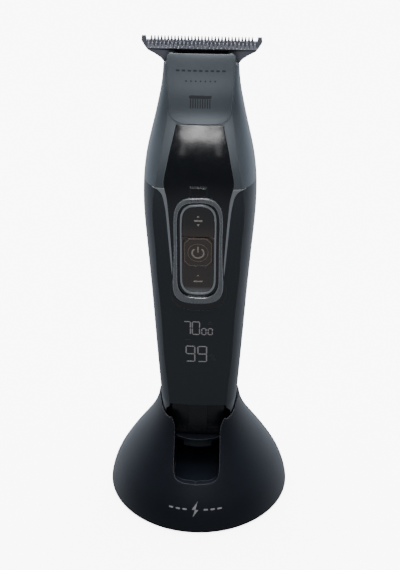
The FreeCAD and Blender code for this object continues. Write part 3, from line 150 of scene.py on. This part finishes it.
M = {
    "gunmetal": material("gunmetal_satin", (0.072, 0.084, 0.095), 0.42, 0.55, grain=5200, grain_mix=0.5, bump=0.10, blotch=45,
                         edge=(0.22, 0.24, 0.26), edge_size=0.0003),
    "blade_steel": material("blade_ground_steel", (0.255, 0.255, 0.290), 0.36, 0.95, stretch=(1, 1, 0.04), grain=4200,
                            grain_mix=0.7, bump=0.25, rough_vary=0.10, edge=(0.60, 0.60, 0.62), edge_size=0.00010),
    # cutter: below z 178.75 the colour turns near black, painted shade of the head cavity over the cutter body
    "cutter_steel": material("cutter_teeth_over_painted_shade", (0.46, 0.46, 0.50), 0.36, 0.9, stretch=(1, 1, 0.04), grain=4200, grain_mix=0.7,
                             bump=0.2, edge=(0.75, 0.75, 0.78), edge_size=0.00010, fade=(178.75, 179.15, (0.012, 0.013, 0.016))),
    # piano black: its lighter edge colour is a painted highlight along the edges
    "gloss_black": material("piano_black", (0.0022, 0.0026, 0.0034), 0.15, 0.0, spec=0.5, coat=0.5, coat_rough=0.08,
                            other=(0.0052, 0.0064, 0.0084), grain_mix=0.25, blotch=240, rough_vary=0.06, bump=0.02, edge=(0.012, 0.013, 0.015), edge_size=0.0006),
    "satin_black": material("satin_black_shell", (0.0130, 0.0165, 0.0200), 0.40, 0.0, spec=0.25, grain=6500, bump=0.16, blotch=35),
    "dock_black": material("moulded_matte_black", (0.0030, 0.0040, 0.0066), 0.46, 0.0, spec=0.29, grain=5200, bump=0.35,
                           bump_depth=0.00004, blotch=30, edge=(0.058, 0.062, 0.070), edge_size=0.00042),
    "silver_trim": material("satin_silver", (0.350, 0.370, 0.385), 0.33, 0.85, stretch=(1, 1, 0.2), grain=5200, bump=0.12,
                            edge=(0.62, 0.64, 0.66), edge_size=0.00018),
    # bezel: the near-white edge colour is a painted highlight along its rims
    "bezel_silver": material("streaked_silver", (0.150, 0.160, 0.168), 0.30, 0.85, other=(0.300, 0.315, 0.325), stretch=(1, 1, 0.2),
                             grain=2600, grain_mix=0.6, bump=0.15, edge=(0.78, 0.81, 0.83), edge_size=0.00050),
    "bronze_lens": material("smoked_bronze", (0.022, 0.0125, 0.0075), 0.16, 0.0, spec=0.5, coat=0.9, coat_rough=0.04,
                            blotch=220, rough_vary=0.05, bump=0.03, edge=(0.085, 0.062, 0.045), edge_size=0.00022),
    "inner_plastic": material("inner_grey_plastic", (0.050, 0.052, 0.055), 0.55, bump=0.25),
    "white_nylon": material("white_nylon", (0.66, 0.65, 0.61), 0.48, bump=0.2),
    "motor_steel": material("plated_steel", (0.42, 0.42, 0.43), 0.30, 0.95, stretch=(1, 1, 0.1), bump=0.15, edge=(0.7, 0.7, 0.7)),
    "magnet": material("sintered_ferrite", (0.030, 0.030, 0.033), 0.62, 0.2, bump=0.5),
    "copper": material("enamelled_copper", (0.52, 0.21, 0.075), 0.28, 0.9, stretch=(1, 1, 9), grain=1600, bump=0.6),
    "brass": material("turned_brass", (0.56, 0.41, 0.16), 0.28, 0.95, stretch=(1, 1, 7), grain=1800, bump=0.25),
    "gold_contact": material("gold_contact", (0.78, 0.54, 0.17), 0.24, 1.0, bump=0.1),
    "screw_steel": material("screw_steel", (0.36, 0.36, 0.38), 0.32, 0.95, bump=0.15, edge=(0.65, 0.65, 0.66)),
    "spring_steel": material("spring_steel", (0.30, 0.30, 0.32), 0.28, 0.95, bump=0.12),
    "cell_wrap": material("cell_wrap", (0.020, 0.085, 0.230), 0.35, 0.0, coat=0.4, bump=0.08),
    "pcb": material("solder_mask", (0.010, 0.090, 0.040), 0.38, 0.0, coat=0.3, bump=0.15),
    "display": material("display_window", (0.006, 0.006, 0.007), 0.20, bump=0.04),
    "ballast_steel": material("zinc_plate", (0.40, 0.41, 0.42), 0.40, 0.9, blotch=260, bump=0.2),
    "rubber": material("rubber_feet", (0.012, 0.012, 0.012), 0.78, bump=0.5),
    "lens_low": material("smoked_bronze_lower", (0.020, 0.0135, 0.0100), 0.17, 0.0, coat=0.9, coat_rough=0.05, blotch=260,
                         other=(0.036, 0.025, 0.019), grain_mix=0.2, rough_vary=0.05, bump=0.03, edge=(0.085, 0.062, 0.045), edge_size=0.00022,
                         fade=(97.3, 99.2, (0.105, 0.110, 0.115))),
    "rocker_lens": material("smoked_bronze_upper", (0.0045, 0.0045, 0.0050), 0.16, 0.0, spec=0.5, coat=0.9, coat_rough=0.04,
                            other=(0.0120, 0.0085, 0.0070), grain_mix=0.15, blotch=260, rough_vary=0.06, bump=0.03,
                            edge=(0.070, 0.055, 0.045), edge_size=0.00022, fade=(119.0, 124.5, (0.034, 0.022, 0.016))),
    "button_lens": material("smoked_bronze_key", (0.026, 0.0175, 0.0130), 0.18, 0.0, spec=0.5, coat=0.8, coat_rough=0.05,
                            other=(0.050, 0.035, 0.027), grain_mix=0.2, blotch=300, rough_vary=0.06, bump=0.04,
                            edge=(0.120, 0.092, 0.074), edge_size=0.00025),
    "fascia_satin": material("satin_fascia", (0.0180, 0.0215, 0.0255), 0.38, 0.0, spec=0.34, grain=6500, bump=0.14, blotch=30,
                             edge=(0.040, 0.044, 0.050), edge_size=0.00030),
    "cap_black": material("cap_black_gloss", (0.0030, 0.0034, 0.0046), 0.28, 0.0, spec=0.40, grain=6000, bump=0.08),
    "etched": material("etched_mark", (0.012, 0.014, 0.018), 0.55, 0.1, bump=0.3),
    "printed": material("printed_grey", (0.145, 0.147, 0.155), 0.50, bump=0.2),
    # the beige print's faint emission is painted light that brightens it
    "beige": material("icon_beige", (0.225, 0.196, 0.170), 0.42, bump=0.1, emit=(0.5, 0.44, 0.38), emit_strength=0.02),
    "beige_dim": material("icon_beige_dim", (0.110, 0.086, 0.070), 0.42, bump=0.1),
    "digits": material("lit_digits", (0.20, 0.195, 0.20), 0.45, bump=0.1, emit=(0.62, 0.57, 0.60), emit_strength=0.070),
    "digits_faint": material("unlit_marks", (0.034, 0.033, 0.035), 0.45, bump=0.1),
}

for name, ob in NODES.items():
    slot = ob.data.materials[0].name.split(".")[0]
    ob.data.materials[0] = M[{"switch_lens": "lens_low", "moving_blade": "cutter_steel", "end_cap": "cap_black",
                                  "switch_bezel": "bezel_silver", "speed_rocker": "rocker_lens",
                                  "power_button": "button_lens", "fascia_panel": "fascia_satin"}.get(name, slot)]

# ------------------------------------------------------------------ marks that follow a surface
def tree_of(*names):
    bm = bmesh.new()
    for n in names:
        bm.from_mesh(NODES[n].data)
    t = BVHTree.FromBMesh(bm)
    bm.free()
    return t


def marks(name, polys, tree, body, mat, proud=0.05, sunk=0.06, step=0.55):
    """Closed thin solids laid on a surface, from outlines in (x, z) millimetres seen from the front."""
    bm = bmesh.new()
    for p in polys:
        bm.faces.new([bm.verts.new((x, 0, z)) for x, z in p])
    bmesh.ops.remove_doubles(bm, verts=bm.verts[:], dist=1e-4)
    bmesh.ops.triangulate(bm, faces=bm.faces[:])
    for _ in range(5):
        long = [e for e in bm.edges if e.calc_length() > step]
        if not long:
            break
        bmesh.ops.subdivide_edges(bm, edges=long, cuts=1)
        bmesh.ops.triangulate(bm, faces=bm.faces[:])
    bm.verts.ensure_lookup_table()
    bm.faces.ensure_lookup_table()
    top, low = [], []
    for v in bm.verts:
        loc, nor, _, _ = tree.ray_cast(Vector((v.co.x * S, -0.09, v.co.z * S)), Vector((0, 1, 0)))
        if loc is None:
            raise RuntimeError("%s: nothing under (%.1f, %.1f)" % (name, v.co.x, v.co.z))
        if nor.y > 0:
            nor = -nor
        top.append(loc + nor * proud * S)
        low.append(loc - nor * sunk * S)
    n = len(top)
    faces = []
    for f in bm.faces:
        ix = [v.index for v in f.verts]
        if f.normal.y > 0:
            ix.reverse()
        faces.append(ix)
        faces.append([i + n for i in reversed(ix)])
    count = {}
    for f in faces[::2]:
        for a, b in zip(f, f[1:] + f[:1]):
            count[(a, b)] = count.get((a, b), 0) + 1
    for (a, b) in list(count):
        if (b, a) not in count:
            faces.append([b, a, a + n, b + n])
    bm.free()
    me = bpy.data.meshes.new(name)
    me.from_pydata([tuple(v) for v in top + low], [], faces)
    me.materials.append(M[mat])
    ob = bpy.data.objects.new(name, me)
    sc.collection.objects.link(ob)
    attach(ob, body)
    return ob


def rect(cx, cz, w, h):
    return [[(cx - w / 2, cz - h / 2), (cx + w / 2, cz - h / 2), (cx + w / 2, cz + h / 2), (cx - w / 2, cz + h / 2)]]


def pill(cx, cz, w, h, n=7):
    r = h / 2
    pts = [(cx + w / 2 - r + r * math.sin(a), cz - r * math.cos(a)) for a in [math.pi * i / n for i in range(n + 1)]]
    pts += [(cx - w / 2 + r - r * math.sin(a), cz + r * math.cos(a)) for a in [math.pi * i / n for i in range(n + 1)]]
    return [pts]


def arc(cx, cz, r0, r1, a0, a1, n=40):
    """Part of a ring; angles in degrees from straight up, clockwise."""
    out = []
    for i in range(n):
        a, b = (math.radians(a0 + (a1 - a0) * k / n) for k in (i, i + 1))
        out.append([(cx + r0 * math.sin(a), cz + r0 * math.cos(a)), (cx + r1 * math.sin(a), cz + r1 * math.cos(a)),
                    (cx + r1 * math.sin(b), cz + r1 * math.cos(b)), (cx + r0 * math.sin(b), cz + r0 * math.cos(b))])
    return out


def loop(pts, w):
    """A band of width w just inside a convex closed outline."""
    cx = sum(p[0] for p in pts) / len(pts)
    cz = sum(p[1] for p in pts) / len(pts)
    def inner(p):
        d = math.hypot(p[0] - cx, p[1] - cz)
        k = (d - w) / d
        return (cx + (p[0] - cx) * k, cz + (p[1] - cz) * k)
    q = [inner(p) for p in pts]
    return [[pts[i], pts[(i + 1) % len(pts)], q[(i + 1) % len(pts)], q[i]] for i in range(len(pts))]


SEG = {"0": "abcdef", "7": "abc", "9": "abcdfg"}


def digit(ch, x, z, w, h, t):
    """Seven-segment figure: lower left corner, width, height, stroke."""
    g = t * 0.22
    def hor(zc):
        x0, x1 = x + t / 2 + g, x + w - t / 2 - g
        return [(x0, zc), (x0 + t / 2, zc - t / 2), (x1 - t / 2, zc - t / 2), (x1, zc), (x1 - t / 2, zc + t / 2), (x0 + t / 2, zc + t / 2)]
    def ver(xc, z0, z1):
        z0, z1 = z0 + g, z1 - g
        return [(xc, z0), (xc + t / 2, z0 + t / 2), (xc + t / 2, z1 - t / 2), (xc, z1), (xc - t / 2, z1 - t / 2), (xc - t / 2, z0 + t / 2)]
    lo, mid, hi = z + t / 2, z + h / 2, z + h - t / 2
    xl, xr = x + t / 2, x + w - t / 2
    s = {"a": hor(hi), "g": hor(mid), "d": hor(lo), "b": ver(xr, mid, hi), "c": ver(xr, lo, mid), "e": ver(xl, lo, mid), "f": ver(xl, mid, hi)}
    return [s[k] for k in SEG[ch]]


t_fascia = tree_of("fascia_panel")
t_head = tree_of("head_shell")
t_button = tree_of("power_button")
t_rocker = tree_of("speed_rocker")
t_lens = tree_of("switch_lens")
t_dock = tree_of("dock_shell")

# readout
marks("readout_large", digit("7", -5.3, 77.8, 2.8, 6.0, 0.42) + digit("0", -2.2, 77.8, 3.0, 6.0, 0.42)
      + digit("9", -4.5, 65.4, 3.6, 7.4, 0.46) + digit("9", -0.2, 65.4, 3.6, 7.4, 0.46), t_fascia, "trimmer", "digits")
marks("readout_small", digit("0", 1.2, 77.8, 1.9, 3.1, 0.40) + digit("0", 3.5, 77.8, 1.9, 3.1, 0.40), t_fascia, "trimmer", "digits")
marks("readout_unlit", arc(4.7, 68.5, 0.28, 0.52, 0, 360, 16) + arc(6.1, 66.6, 0.28, 0.52, 0, 360, 16)
      + [[(4.55, 66.2), (4.85, 66.2), (6.25, 68.9), (5.95, 68.9)]] + rect(4.3, 82.6, 1.7, 0.35) + rect(4.3, 83.5, 1.1, 0.35)
      + rect(-3.6, 75.6, 2.3, 0.3), t_fascia, "trimmer", "digits_faint")

# power key
oct_pts = []
hx, z0, z1, c = 4.72, 107.7, 118.5, 1.75
oct_pts = [(-hx + c, z0), (hx - c, z0), (hx, z0 + c), (hx, z1 - c), (hx - c, z1), (-hx + c, z1), (-hx, z1 - c), (-hx, z0 + c)]
marks("key_outline", loop(oct_pts, 0.30), t_button, "button", "beige_dim")
marks("key_ring", arc(0, 113.0, 3.35, 3.62, 0, 360, 56), t_button, "button", "beige_dim")
marks("key_symbol", arc(0, 112.9, 1.75, 2.25, 38, 322, 44) + rect(0, 114.3, 0.48, 2.2), t_button, "button", "beige")

# rocker and lower label
marks("rocker_marks", [[(-0.5, 126.6), (0.5, 126.6), (0, 127.3)], [(0.5, 124.0), (-0.5, 124.0), (0, 123.3)]] + pill(0, 125.3, 3.0, 0.55),
      t_rocker, "rocker", "beige")
marks("lower_label", pill(0, 101.2, 3.2, 0.55) + [[(-0.5, 103.3), (0.5, 103.3), (0, 104.0)]], t_lens, "trimmer", "beige")

# plate: a plain comb with two rows of dashes in place of lettering
plate = []
for i in range(9):
    plate += pill(-7.6 + 1.9 * i, 173.3, 1.25, 0.55)
for i in range(7):
    plate += pill(-4.8 + 1.6 * i, 170.1, 0.55, 0.55)
plate += pill(0, 165.2, 7.6, 1.0)
for i in range(9):
    plate += rect(-3.2 + 0.8 * i, 163.1, 0.34, 3.0)
marks("plate_comb_mark", plate, t_head, "trimmer", "etched", proud=0.03)

# dock: a plain charging bolt between dashes
bolt = [[(0.9, 12.6), (-1.3, 9.7), (0.1, 9.7)], [(-0.9, 6.9), (1.3, 9.7), (-0.1, 9.7)]]
dash = []
for s in (-1, 1):
    for i in range(3):
        dash += pill(s * (4.0 + 2.6 * i), 9.7, 1.7, 0.6)
marks("dock_charge_mark", bolt + dash, t_dock, "dock", "printed", proud=0.04)

# ------------------------------------------------------------------ floor and light
fl = material("pale_floor", (0.82, 0.82, 0.82), 0.70, other=(0.86, 0.86, 0.86), grain=60, blotch=4, bump=0.02)
me = bpy.data.meshes.new("floor")
me.from_pydata([(-6, -6, 0), (6, -6, 0), (6, 6, 0), (-6, 6, 0)], [], [(0, 1, 2, 3)])
floor = bpy.data.objects.new("floor", me)
sc.collection.objects.link(floor)
me.materials.append(fl)
floor.visible_glossy = False
floor.visible_diffuse = False
fl.node_tree.nodes["Principled BSDF"].inputs["Emission Color"].default_value = (1, 1, 1, 1)
fl.node_tree.nodes["Principled BSDF"].inputs["Emission Strength"].default_value = 6.0

w = bpy.data.worlds.new("world")
sc.world = w
w.use_nodes = True
wt = w.node_tree
bg = wt.nodes["Background"]
# what the object mirrors: a dark room in front, bright paper beside and behind
wc = wt.nodes.new("ShaderNodeTexCoord")
ws = wt.nodes.new("ShaderNodeSeparateXYZ")
wr = wt.nodes.new("ShaderNodeMapRange")
wr.interpolation_type = "SMOOTHSTEP"
wr.inputs["From Min"].default_value = -0.31
wr.inputs["From Max"].default_value = 0.60
wm = wt.nodes.new("ShaderNodeMix"); wm.data_type = "RGBA"
wt.links.new(wc.outputs["Generated"], ws.inputs[0])
wt.links.new(ws.outputs["Y"], wr.inputs["Value"])
wt.links.new(wr.outputs["Result"], wm.inputs["Factor"])


def by_height(low, high, below, above):
    """A tone that changes with the height a direction points to."""
    r = wt.nodes.new("ShaderNodeMapRange")
    r.interpolation_type = "SMOOTHSTEP"
    r.inputs["From Min"].default_value = low
    r.inputs["From Max"].default_value = high
    c = wt.nodes.new("ShaderNodeMix"); c.data_type = "RGBA"
    c.inputs["A"].default_value = (*below, 1)
    c.inputs["B"].default_value = (*above, 1)
    wt.links.new(ws.outputs["Z"], r.inputs["Value"])
    wt.links.new(r.outputs["Result"], c.inputs["Factor"])
    return c.outputs["Result"]


wt.links.new(by_height(-0.36, 0.02, (0.285, 0.303, 0.330), (0.082, 0.090, 0.102)), wm.inputs["A"])
wt.links.new(by_height(-0.70, -0.25, (0.450, 0.500, 0.580), (1.15, 1.25, 1.40)), wm.inputs["B"])
wt.links.new(wm.outputs["Result"], bg.inputs["Color"])
bg.inputs["Strength"].default_value = 1.0
bg2 = wt.nodes.new("ShaderNodeBackground")
bg2.inputs["Color"].default_value = (1, 1, 1, 1)
bg2.inputs["Strength"].default_value = 6.5
lp = wt.nodes.new("ShaderNodeLightPath")
mx = wt.nodes.new("ShaderNodeMixShader")
wt.links.new(lp.outputs["Is Camera Ray"], mx.inputs[0])
wt.links.new(bg.outputs[0], mx.inputs[1])
wt.links.new(bg2.outputs[0], mx.inputs[2])
wt.links.new(mx.outputs[0], wt.nodes["World Output"].inputs["Surface"])


def softbox(name, loc, target, size_x, size_y, power, colour=(1, 1, 1)):
    d = bpy.data.lights.new(name, "AREA")
    d.shape = "RECTANGLE"
    d.size, d.size_y = size_x, size_y
    d.energy = power
    d.color = colour
    o = bpy.data.objects.new(name, d)
    sc.collection.objects.link(o)
    o.location = loc
    o.rotation_euler = (Vector(target) - Vector(loc)).to_track_quat("-Z", "Y").to_euler()
    return o


floor_lamp = softbox("top", (0.0, 0.5, 1.7), (0, 0.1, 0), 2.4, 2.0, 150)
floor_lamp.visible_glossy = False
softbox("front_high", (-0.01, -0.60, 0.588), (0, 0, 0.155), 0.36, 0.045, 1.7)
softbox("streak_left", (-0.150, -0.58, 0.47), (0, 0, 0.155), 0.045, 0.16, 0.026)
softbox("streak_right", (0.120, -0.58, 0.47), (0, 0, 0.155), 0.050, 0.16, 0.026)
softbox("front_fade", (-0.02, -0.60, 0.53), (0, 0, 0.155), 0.30, 0.10, 0.012)
softbox("front_top", (0.0, -0.50, 0.98), (0, 0, 0.15), 0.42, 0.30, 1.7)
